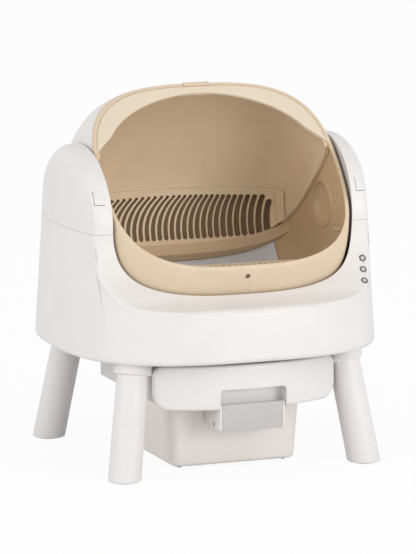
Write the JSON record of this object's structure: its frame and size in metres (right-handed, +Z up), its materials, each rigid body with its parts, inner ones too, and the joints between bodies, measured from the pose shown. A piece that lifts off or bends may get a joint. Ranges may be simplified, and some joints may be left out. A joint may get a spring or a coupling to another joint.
{
  "type": "self cleaning litter box",
  "caption": "Self cleaning litter box: a drum with a slanted mouth turns in an oval base on splayed legs, sifts the litter and drops waste down a chute into a pull-out bin.",
  "frame": {"origin": "on the floor, under the middle of the base", "axes": "+Z up, -Y towards the front with the mouth and drawer, +X to the viewer's right when facing the front"},
  "size_m": [0.579, 0.535, 0.6658],
  "materials": {
    "white_plastic": "moulded, soft gloss",
    "tan_plastic": "moulded, matt",
    "pale_tan_plastic": "moulded, matt",
    "grey_plastic": "moulded, soft gloss",
    "dark_plastic": "moulded, matt",
    "steel": "plain",
    "circuit_board": "solder mask",
    "pale_liner": "fine grain",
    "rubber": "matt"
  },
  "bodies": {
    "base": {"base_shell": "white_plastic", "left_tower_cap": "white_plastic", "right_tower_cap": "white_plastic", "base_floor": "white_plastic", "chute_housing": "white_plastic", "chute_funnel": "white_plastic", "leg_front_left": "white_plastic", "leg_front_right": "white_plastic", "leg_rear_left": "white_plastic", "leg_rear_right": "white_plastic", "leg_collar_front_left": "white_plastic", "leg_collar_front_right": "white_plastic", "leg_collar_rear_left": "white_plastic", "leg_collar_rear_right": "white_plastic", "left_hub_bush": "grey_plastic", "right_hub_bush": "grey_plastic", "left_bearing_bracket": "dark_plastic", "right_bearing_bracket": "dark_plastic", "power_inlet": "dark_plastic", "gearmotor": "steel", "control_board": "circuit_board", "status_light": "pale_liner", "foot_pad_front_left": "rubber", "foot_pad_front_right": "rubber", "foot_pad_rear_left": "rubber", "foot_pad_rear_right": "rubber"},
    "drum": {"drum_bowl": "tan_plastic", "lip_screw": "steel", "drum_gear": "grey_plastic", "hood_shell": "white_plastic", "visor_frame": "pale_tan_plastic", "hood_clip": "tan_plastic", "hood_liner": "tan_plastic", "sieve_grille": "tan_plastic", "floor_liner": "pale_liner", "front_step": "tan_plastic"},
    "pinion_wheel": {"pinion": "steel"},
    "drawer": {"drawer_fascia": "white_plastic", "drawer_frame": "white_plastic", "waste_bin": "white_plastic", "left_bin_foot": "dark_plastic", "right_bin_foot": "dark_plastic", "handle_bracket": "white_plastic", "handle_pin": "steel"},
    "handle": {"handle_frame": "white_plastic", "handle_plate": "grey_plastic"},
    "clean_key": {"clean_button": "grey_plastic"},
    "level_key": {"level_button": "grey_plastic"},
    "mode_key": {"mode_button": "grey_plastic"},
    "left_tab": {"left_release_tab": "white_plastic"},
    "right_tab": {"right_release_tab": "white_plastic"}
  },
  "joints": [
    {"name": "drum_turn", "type": "hinge", "parent": "base", "child": "drum", "pos_m": [0, 0, 0.438], "axis": [1, 0, 0], "range_deg": [-225, 15]},
    {"name": "pinion_spin", "type": "hinge", "parent": "base", "child": "pinion_wheel", "pos_m": [0.256, 0, 0.363], "axis": [1, 0, 0], "range_deg": [-70, 910]},
    {"name": "drawer_slide", "type": "slide", "parent": "base", "child": "drawer", "axis": [0, -1, 0], "range_m": [0, 0.25]},
    {"name": "handle_tilt", "type": "hinge", "parent": "drawer", "child": "handle", "pos_m": [0, -0.206, 0.09], "axis": [1, 0, 0], "range_deg": [0, 22], "stiffness_Nm_per_rad": 0.15, "springref_deg": -22.92},
    {"name": "clean_press", "type": "slide", "parent": "base", "child": "clean_key", "axis": [0, 0.9278, -0.3731], "range_m": [0, 0.001], "stiffness_N_per_m": 400, "springref_m": -0.0008},
    {"name": "level_press", "type": "slide", "parent": "base", "child": "level_key", "axis": [0, 0.771, -0.6368], "range_m": [0, 0.001], "stiffness_N_per_m": 400, "springref_m": -0.0008},
    {"name": "mode_press", "type": "slide", "parent": "base", "child": "mode_key", "axis": [0, 0.6522, -0.758], "range_m": [0, 0.001], "stiffness_N_per_m": 400, "springref_m": -0.0008},
    {"name": "left_tab_press", "type": "slide", "parent": "base", "child": "left_tab", "axis": [0, 1, 0], "range_m": [0, 0.002], "stiffness_N_per_m": 400, "springref_m": -0.0008},
    {"name": "right_tab_press", "type": "slide", "parent": "base", "child": "right_tab", "axis": [0, 1, 0], "range_m": [0, 0.002], "stiffness_N_per_m": 400, "springref_m": -0.0008}
  ],
  "couplings": [
    {"joint": "pinion_spin", "follows": "drum_turn", "ratio": -4}
  ]
}
